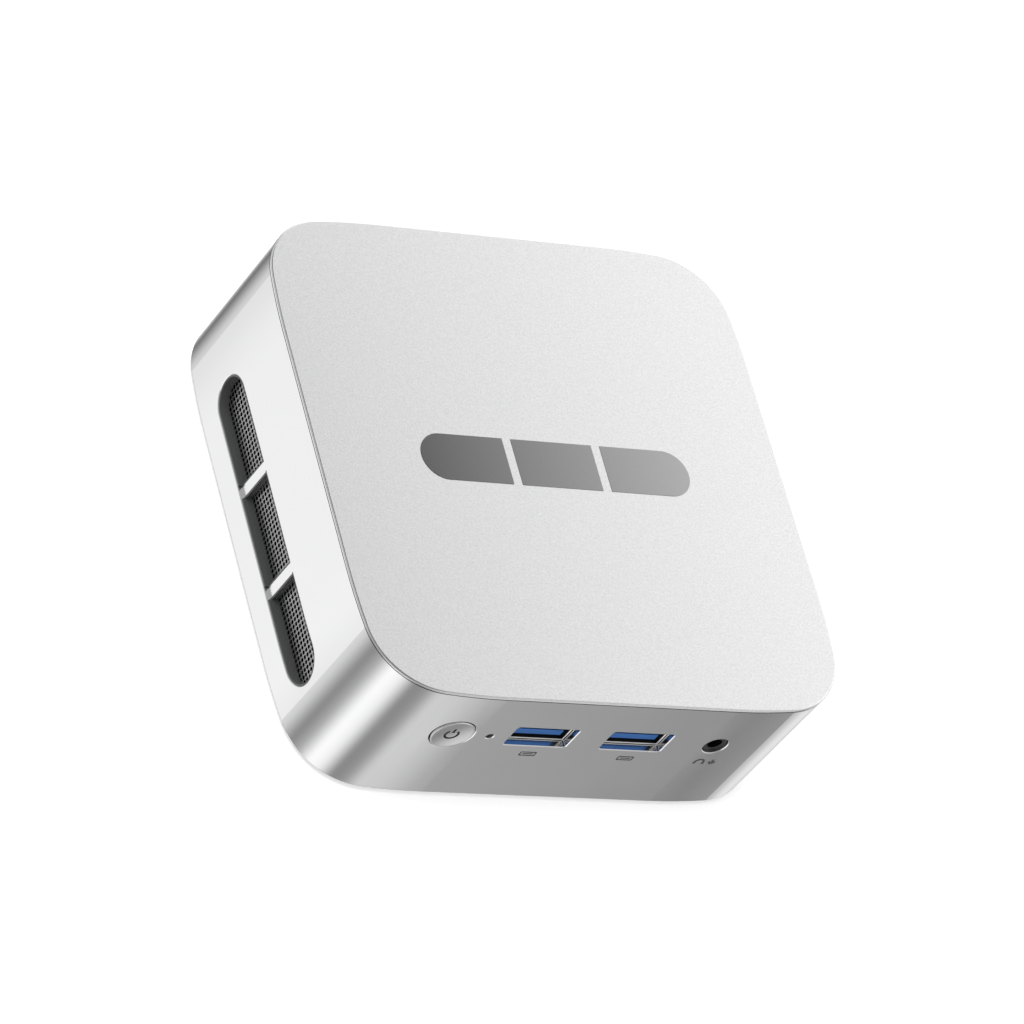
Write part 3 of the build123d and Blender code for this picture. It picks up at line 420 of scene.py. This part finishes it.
# %% Boards and chips
board = Finish("board_lacquer", (0.008, 0.075, 0.030), 0.32)
cells = board.add("ShaderNodeTexVoronoi", {"distance": "CHEBYCHEV", "feature": "F1"}, Vector=board.place,
                  Scale=1 / (2.2 * MM))
tracks = board.signal(cells).math("PINGPONG", board.signal(cells), 0.12) * 8
board.set(Base_Color=board.shade(0.55, tracks), Roughness=0.30 + tracks * 0.08)
board.bump(tracks, 0.02, 0.5)
paint(board, "mainboard", "memory_module", "drive_module", "wireless_card", "processor")
paint(make_moulded("thermal_pad", (0.20, 0.21, 0.22), 0.7, 0.4, 0.02), "thermal_pad")
paint(make_moulded("antenna_film", (0.50, 0.34, 0.10), 0.32, 0.8, 0.01), "antennas")

# %% [markdown]
# ## Filter cloth
# Behind the fan grille lies a fine net that holds back dust. Its threads cross at right angles, so two sine
# waves, one along each axis, give the height of the weave, and its gaps are painted darker than its threads, a
# painted shade for the openings.

# %% Net
THREAD_PITCH_MM = 0.6
net = Finish("filter_net", (0.03, 0.03, 0.031), 0.7)
warp, weft = (axis * (2 * math.pi / THREAD_PITCH_MM) for axis in net.axes()[:2])
warp_height, weft_height = (axis.math("SINE", axis) * 0.5 + 0.5 for axis in (warp, weft))
threads = warp_height.math("MAXIMUM", warp_height, weft_height)
# The gaps between the threads get a painted shade of near black.
net.set(Base_Color=net.mix_colour(threads ** 3, [0.004, 0.004, 0.004, 1.0], [0.05, 0.05, 0.052, 1.0]))
net.bump(threads, 0.1, 0.8)
paint(net, "dust_filter")

# %% [markdown]
# ## Repeating a small shape
# A perforated sheet, a row of contacts and four screws are one small shape repeated on a lattice. This tree
# takes the shape from the object that carries it, lays out the lattice, drops the places outside a slot with
# round ends, turns the lattice into its plane and puts it in place.

# %% Lattice tree
class Lattice(Tree):
    """Geometry Nodes that repeat an object's own mesh on a lattice."""

    SIZES = (
        ("Columns", "NodeSocketInt"), ("Rows", "NodeSocketInt"), ("Column Pitch", "NodeSocketFloat"),
        ("Row Pitch", "NodeSocketFloat"), ("Slot Length", "NodeSocketFloat"),
        ("Slot Height", "NodeSocketFloat"), ("Turn", "NodeSocketVector"), ("Middle", "NodeSocketVector"),
        ("Weld", "NodeSocketFloat"), ("Finish", "NodeSocketMaterial"),
    )

    def __init__(self):
        group = bpy.data.node_groups.new("lattice", "GeometryNodeTree")
        super().__init__(group)
        group.interface.new_socket("Shape", in_out="INPUT", socket_type="NodeSocketGeometry")
        group.interface.new_socket("Result", in_out="OUTPUT", socket_type="NodeSocketGeometry")
        for name, kind in self.SIZES:
            group.interface.new_socket(name, in_out="INPUT", socket_type=kind)
        self.start = self.add("NodeGroupInput").outputs
        self.lay_out()

    def size(self, name):
        return Signal(self.tree, self.start[name])

    def lay_out(self):
        columns, rows = self.size("Columns"), self.size("Rows")
        grid = self.add(
            "GeometryNodeMeshGrid", Vertices_X=columns, Vertices_Y=rows,
            Size_X=(columns - 1) * self.size("Column Pitch"), Size_Y=(rows - 1) * self.size("Row Pitch"),
        )
        kept = self.add("GeometryNodeSeparateGeometry", Geometry=grid.outputs["Mesh"], Selection=self.in_slot())
        placed = self.add("GeometryNodeTransform", Geometry=kept.outputs["Selection"],
                          Rotation=self.start["Turn"], Translation=self.start["Middle"])
        copies = self.add("GeometryNodeInstanceOnPoints", Points=placed.outputs[0],
                          Instance=self.start["Shape"])
        solid = self.add("GeometryNodeRealizeInstances", Geometry=copies.outputs[0])
        welded = self.add("GeometryNodeMergeByDistance", Geometry=solid.outputs[0], Distance=self.start["Weld"])
        coated = self.add("GeometryNodeSetMaterial", Geometry=welded.outputs[0], Material=self.start["Finish"])
        self.add("NodeGroupOutput", Result=coated.outputs[0])

    def in_slot(self):
        """True for the lattice points inside a slot with round ends."""
        place = self.add("ShaderNodeSeparateXYZ", Vector=self.add("GeometryNodeInputPosition").outputs[0])
        along, up = self.signal(place, 0), self.signal(place, 1)
        straight = (self.size("Slot Length") - self.size("Slot Height")) / 2
        beyond = along.math("ABSOLUTE", along) - straight
        beyond = beyond.math("MAXIMUM", beyond, 0)
        reach = (beyond * beyond + up * up) ** 0.5
        return reach < self.size("Slot Height") / 2


lattice = Lattice()


def keep_result(piece, modifier):
    """Replaces a piece's mesh by what its modifier makes of it, and removes the modifier."""
    bpy.context.view_layer.update()
    evaluated = piece.evaluated_get(bpy.context.evaluated_depsgraph_get())
    mesh = bpy.data.meshes.new_from_object(evaluated)
    piece.modifiers.remove(modifier)
    piece.data = mesh


def repeat(piece, finish, **sizes):
    """Runs the lattice on a piece's mesh and keeps the result as its plain mesh."""
    modifier = piece.modifiers.new("lattice", "NODES")
    modifier.node_group = lattice.tree
    values = {"Slot Length": 1.0, "Slot Height": 1.0, "Weld": 1e-6, "Finish": finish.material}
    values.update({name.replace("_", " "): value for name, value in sizes.items()})
    for item in lattice.tree.interface.items_tree:
        if item.name in values:
            modifier[item.identifier] = values[item.name]
    keep_result(piece, modifier)
    print(piece.name, "has", len(piece.data.polygons), "faces")


# %% [markdown]
# ## Shapes made in mesh code
# Small shapes are drawn as bmesh faces. A solid of revolution, a box with soft edges and a flat outline with
# thickness cover every piece that follows.

# %% Shape helpers
def new_piece(name, shape, body="case", finish=None):
    """An object from a bmesh, that rides on a body."""
    bmesh.ops.recalc_face_normals(shape, faces=shape.faces)
    mesh = bpy.data.meshes.new(name)
    shape.to_mesh(mesh)
    shape.free()
    piece = bpy.data.objects.new(name, mesh)
    bpy.context.scene.collection.objects.link(piece)
    if finish:
        mesh.materials.append(finish.material)
    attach(piece, body)
    return piece


def soft_box(size, edge, middle=(0, 0, 0)):
    """A box with bevelled edges, in millimetres."""
    shape = bmesh.new()
    bmesh.ops.create_cube(shape, size=1.0)
    bmesh.ops.scale(shape, vec=Vector(size) * MM, verts=shape.verts)
    bmesh.ops.bevel(shape, geom=list(shape.edges), offset=edge * MM, segments=2, affect="EDGES")
    bmesh.ops.translate(shape, vec=Vector(middle) * MM, verts=shape.verts)
    return shape


def add_ribbon(shape, edge_pairs, place, thickness):
    """A strip between pairs of points on a wall; place puts a point and a height on the wall."""
    rows = [[shape.verts.new(place(point, level)) for point in pair for level in (0.0, thickness)]
            for pair in edge_pairs]
    for one, two in zip(rows, rows[1:]):
        for a, b in ((0, 1), (1, 3), (3, 2), (2, 0)):
            shape.faces.new((one[a], one[b], two[b], two[a]))
    shape.faces.new([rows[0][i] for i in (0, 1, 3, 2)])
    shape.faces.new([rows[-1][i] for i in (0, 2, 3, 1)])


def stroke(points, width):
    """Pairs of points on both sides of a drawn line."""
    pairs = []
    for index, point in enumerate(points):
        before, after = points[max(index - 1, 0)], points[min(index + 1, len(points) - 1)]
        way = (Vector(after) - Vector(before)).normalized()
        aside = Vector((-way.y, way.x)) * width / 2
        pairs.append((Vector(point) + aside, Vector(point) - aside))
    return pairs


def arc(centre, radius, start, end, steps=24):
    """Points along an arc, with angles in degrees counted from the right."""
    angles = [math.radians(start + (end - start) * step / steps) for step in range(steps + 1)]
    return [(centre[0] + radius * math.cos(angle), centre[1] + radius * math.sin(angle)) for angle in angles]


# %% [markdown]
# ## Perforated sheets
# Behind each side vent lies a thin steel sheet with round holes on a square lattice. One cell is a square with
# a round hole through it. The cells are laid edge to edge and welded, which gives one sheet with real holes,
# so the dark inside shows through them from any angle.

# %% One cell
HOLE_PITCH = (1.25, 1.26)
HOLE_D = 1.02
SHEET_T = 0.08
HOLE_SIDES = 16
SHEET_COLUMNS, SHEET_ROWS = 66, 13


def sheet_cell(thickness):
    shape = bmesh.new()
    rings = []
    for x in (0.0, thickness):
        inner, outer = [], []
        for side in range(HOLE_SIDES):
            angle = 2 * math.pi * side / HOLE_SIDES
            across, up = math.cos(angle), math.sin(angle)
            to_edge = 1 / max(abs(across) / (HOLE_PITCH[0] / 2), abs(up) / (HOLE_PITCH[1] / 2))
            inner.append(shape.verts.new((x, across * HOLE_D / 2 * MM, up * HOLE_D / 2 * MM)))
            outer.append(shape.verts.new((x, across * to_edge * MM, up * to_edge * MM)))
        rings += [inner, outer]
    for side in range(HOLE_SIDES):
        after = (side + 1) % HOLE_SIDES
        for one, two in ((rings[0], rings[1]), (rings[2], rings[3]), (rings[0], rings[2])):
            shape.faces.new((one[side], one[after], two[after], two[side]))
    return shape


# %% Two sheets
sheet_steel = make_metal("sheet_steel", (0.42, 0.42, 0.425), 0.42, 0.3)
for side_name in ("left", "right"):
    node = "vent_mesh_" + side_name
    low_corner, high_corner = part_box(node)
    outer_x = low_corner[0] if side_name == "left" else high_corner[0] - SHEET_T * MM
    sheet = new_piece("perforated_sheet_" + side_name, sheet_cell(SHEET_T * MM))
    middle = (outer_x, (low_corner[1] + high_corner[1]) / 2, (low_corner[2] + high_corner[2]) / 2)
    repeat(
        sheet, sheet_steel, Columns=SHEET_COLUMNS, Rows=SHEET_ROWS, Column_Pitch=HOLE_PITCH[0] * MM,
        Row_Pitch=HOLE_PITCH[1] * MM, Slot_Length=high_corner[1] - low_corner[1],
        Slot_Height=high_corner[2] - low_corner[2], Turn=(math.pi / 2, 0, math.pi / 2), Middle=middle,
        Weld=0.01 * MM,
    )
    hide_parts(node)

# %% [markdown]
# ## Prints on the front
# The sign on the power button and the small signs under the ports are printed in dark ink. Each is a set of
# strokes: a line drawn on the wall, given a width and a hair's thickness, and laid on the surface it belongs
# to. The signs are plain pictures of a port and of a headset.

# %% Ink and surfaces
PRINT_PROUD, PRINT_SINK = 0.03, 0.02
PRINT_THICKNESS = PRINT_PROUD + PRINT_SINK
WALL_FLAT, WALL_EASE_R = 30.9, 168.4
sign_ink = make_moulded("sign_ink", (0.003, 0.003, 0.003), 0.7, 0.3, 0.004)
label_ink = make_moulded("label_ink", (0.045, 0.045, 0.047), 0.6, 0.3, 0.004)
button_low, button_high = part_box("power_button")
BUTTON_X, BUTTON_Z = ((button_low[axis] + button_high[axis]) / 2 / MM for axis in (0, 2))
BUTTON_FRONT = button_low[1] / MM
DISH_DEPTH, DISH_R = 0.2, 57.7
WALL_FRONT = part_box("case_shell")[0][1] / MM


def on_button(point, level):
    """A point of the dished cap; a print starts a hair inside it and rises by its level."""
    fall = DISH_DEPTH - (DISH_R - math.sqrt(DISH_R ** 2 - point[0] ** 2 - point[1] ** 2))
    front = BUTTON_FRONT + fall + PRINT_SINK - level
    return Vector((BUTTON_X + point[0], front, BUTTON_Z + point[1])) * MM


def on_front(point, level):
    """The same on the front wall, which curves away near the corners."""
    beyond = max(0.0, abs(point[0]) - WALL_FLAT)
    front = WALL_FRONT + beyond ** 2 / (2 * WALL_EASE_R) + PRINT_SINK - level
    return Vector((point[0], front, point[1])) * MM


# %% Power sign
SIGN_X, SIGN_R, SIGN_STROKE = -0.25, 1.6, 0.56
sign = bmesh.new()
ring = arc((SIGN_X, 0), SIGN_R, 130, 410, 40)
bar = [(SIGN_X, 0.7 + 0.25 * step) for step in range(7)]
for line in (ring, bar):
    add_ribbon(sign, stroke(line, SIGN_STROKE), on_button, PRINT_THICKNESS)
new_piece("power_sign", sign, "button", sign_ink)

# %% Port and headset signs
def port_sign(x, z):
    """A flat port: its mouth and the tongue in it."""
    frame_line = [(x - 2.0, z - 0.7), (x + 2.0, z - 0.7), (x + 2.0, z + 0.7), (x - 2.0, z + 0.7)]
    sides = [[frame_line[i], frame_line[(i + 1) % 4]] for i in range(4)]
    return sides + [[(x - 1.35, z + 0.02), (x + 1.35, z + 0.02)]]


def headset_sign(x, z):
    """A headband with two ear cushions, and a microphone on its stand beside it."""
    band_x, mic_x = x - 1.6, x + 1.9
    band = arc((band_x, z - 0.2), 1.15, 0, 180)
    ears = [[(band_x + side * 1.15, z - 0.95), (band_x + side * 1.15, z - 0.15)] for side in (-1, 1)]
    cup = arc((mic_x, z + 0.1), 0.75, 180, 360)
    return [band, *ears, cup, [(mic_x, z - 0.1), (mic_x, z + 0.9)], [(mic_x, z - 1.05), (mic_x, z - 0.65)]]


SIGN_Z = 20.0
SIGNS = (
    ("port_sign_left", port_sign(-13.0, SIGN_Z), 0.32),
    ("port_sign_right", port_sign(13.35, SIGN_Z), 0.32),
    ("headset_sign", headset_sign(35.5, SIGN_Z), 0.56),
)
for name, lines, width in SIGNS:
    drawing = bmesh.new()
    for line in lines:
        add_ribbon(drawing, stroke(line, width), on_front, PRINT_THICKNESS)
    new_piece(name, drawing, "case", label_ink)

# %% [markdown]
# ## Screws under the case
# Four black screws hold the cover. A pan head is a turned shape, so its profile is spun round the axis, and
# the cross for the screwdriver is cut with a Boolean before the lattice repeats the screw at the corners.

# %% Cross-head screw
HEAD_R, HEAD_H, THREAD_R, SCREW_LENGTH = 2.4, 1.2, 1.3, 9.5
SCREW_SPACING = 100.0


def turned(profile, steps=32):
    """A solid of revolution about Z from (radius, height) points in millimetres."""
    shape = bmesh.new()
    verts = [shape.verts.new((radius * MM, 0, height * MM)) for radius, height in profile]
    edges = [shape.edges.new(pair) for pair in zip(verts, verts[1:])]
    bmesh.ops.spin(shape, geom=verts + edges, cent=(0, 0, 0), axis=(0, 0, 1), angle=2 * math.pi, steps=steps,
                   use_merge=True)
    bmesh.ops.remove_doubles(shape, verts=shape.verts, dist=1e-7)
    return shape


def cut_cross(piece, reach, width, low_z, high_z):
    """Cuts a cross into a piece with two crossed boxes."""
    for size in ((reach, width), (width, reach)):
        cutter_shape = soft_box((*size, high_z - low_z), 0.05, (0, 0, (low_z + high_z) / 2))
        cutter_mesh = bpy.data.meshes.new("cutter")
        cutter_shape.to_mesh(cutter_mesh)
        cutter_shape.free()
        cutter = bpy.data.objects.new("cutter", cutter_mesh)
        bpy.context.scene.collection.objects.link(cutter)
        modifier = piece.modifiers.new("cross", "BOOLEAN")
        modifier.object, modifier.operation = cutter, "DIFFERENCE"
        keep_result(piece, modifier)
        bpy.data.objects.remove(cutter)
        bpy.data.meshes.remove(cutter_mesh)


screw_profile = [
    (0, -HEAD_H), (HEAD_R * 0.6, -HEAD_H), (HEAD_R * 0.86, -HEAD_H * 0.86), (HEAD_R, -HEAD_H * 0.45),
    (HEAD_R, 0), (THREAD_R, 0), (THREAD_R, SCREW_LENGTH - 0.6), (THREAD_R * 0.5, SCREW_LENGTH),
    (0, SCREW_LENGTH),
]
black_screw = make_metal("black_screw", (0.035, 0.035, 0.037), 0.38, 0.2)
screws = new_piece("cover_screws", turned(screw_profile))
cut_cross(screws, 2.5, 0.6, -HEAD_H - 0.4, -HEAD_H + 0.75)
repeat(
    screws, black_screw, Columns=2, Rows=2, Column_Pitch=SCREW_SPACING * MM, Row_Pitch=SCREW_SPACING * MM,
    Middle=(0, 0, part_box("bottom_screws")[0][2] + HEAD_H * MM),
)
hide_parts("bottom_screws")

# %% [markdown]
# ## Contacts in the ports
# Every port has a row of thin gilded springs. They lie under the tongues of the flat ports and on the floor of
# the network port. Each row is one soft-edged strip, repeated by the same lattice.

# %% Contact rows
gilt = make_metal("gilt_contacts", (0.83, 0.62, 0.28), 0.22, 0.2)


def contact_row(name, size, count, pitch, middle):
    row = new_piece(name, soft_box(size, 0.04))
    repeat(row, gilt, Columns=count, Rows=1, Column_Pitch=pitch * MM, Row_Pitch=MM,
           Middle=[value * MM for value in middle])


CONTACT_SINK = 0.02
FLAT_CONTACT = (1.1, 7.5, 0.16)
FLAT_COUNT, FLAT_PITCH = 4, 2.5
FLAT_TO_MIDDLE = CONTACT_SINK - FLAT_CONTACT[2] / 2
FRONT_TONGUE_Z, FRONT_DEPTH = 25.15, 5.0
REAR_PLACE, REAR_TONGUES_Z = (-10.5, 56.5), (("upper", 25.15), ("lower", 16.85))
NETWORK_CONTACT = (0.45, 7.0, 0.3)
NETWORK_COUNT, NETWORK_PITCH = 8, 1.02
NETWORK_DEPTH, NETWORK_Z = 6.5, 27.9

for side_name in ("left", "right"):
    low_corner, high_corner = (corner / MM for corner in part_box("front_usb_tongue_" + side_name))
    middle_x = (low_corner[0] + high_corner[0]) / 2
    middle = (middle_x, low_corner[1] + FRONT_DEPTH, FRONT_TONGUE_Z + FLAT_TO_MIDDLE)
    contact_row("front_contacts_" + side_name, FLAT_CONTACT, FLAT_COUNT, FLAT_PITCH, middle)
for level, tongue_z in REAR_TONGUES_Z:
    middle = (*REAR_PLACE, tongue_z + FLAT_TO_MIDDLE)
    contact_row("rear_contacts_" + level, FLAT_CONTACT, FLAT_COUNT, FLAT_PITCH, middle)
insert_low, insert_high = (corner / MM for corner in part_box("network_insert"))
middle = ((insert_low[0] + insert_high[0]) / 2, insert_high[1] - NETWORK_DEPTH, NETWORK_Z)
contact_row("network_contacts", NETWORK_CONTACT, NETWORK_COUNT, NETWORK_PITCH, middle)

# %% [markdown]
# ## Floor and lamp
# The floor is plain white and lies a hair below the feet. It is hidden from mirror rays, as if the case stood
# on clear glass over the low panels. A faint glow of its own keeps the contact shadow light. One broad lamp,
# which the metal doesn't mirror either, lights the floor and the dark plastic pieces.

# %% Floor
FLOOR_HALF = 2.5
FLOOR_DROP_MM = 0.02
FLOOR_GLOW = 0.45
floor_mesh = bpy.data.meshes.new("floor")
floor_mesh.from_pydata(
    [(-FLOOR_HALF, -FLOOR_HALF, 0), (FLOOR_HALF, -FLOOR_HALF, 0), (FLOOR_HALF, FLOOR_HALF, 0),
     (-FLOOR_HALF, FLOOR_HALF, 0)], [], [(0, 1, 2, 3)],
)
floor = bpy.data.objects.new("floor", floor_mesh)
bpy.context.scene.collection.objects.link(floor)
floor_finish = Finish("floor_white", (0.93, 0.93, 0.93), 0.9)
floor_finish.set(Base_Color=floor_finish.shade(0.01, floor_finish.noise(40.0)),
                 Emission_Color=(1, 1, 1, 1), Emission_Strength=FLOOR_GLOW)
floor_mesh.materials.append(floor_finish.material)
floor.visible_glossy = False
floor.location.z = -FLOOR_DROP_MM * MM

# %% Lamp
LAMP_PLACE, LAMP_SIZE, LAMP_WATTS = (-0.5, 0.3, 1.6), 1.6, 26.0
lamp_data = bpy.data.lights.new("broad_lamp", "AREA")
lamp_data.shape = "DISK"
lamp_data.size = LAMP_SIZE
lamp_data.energy = LAMP_WATTS
lamp = bpy.data.objects.new("broad_lamp", lamp_data)
lamp.location = LAMP_PLACE
lamp.rotation_euler = (-lamp.location).to_track_quat("-Z", "Y").to_euler()
lamp.visible_glossy = False
bpy.context.scene.collection.objects.link(lamp)
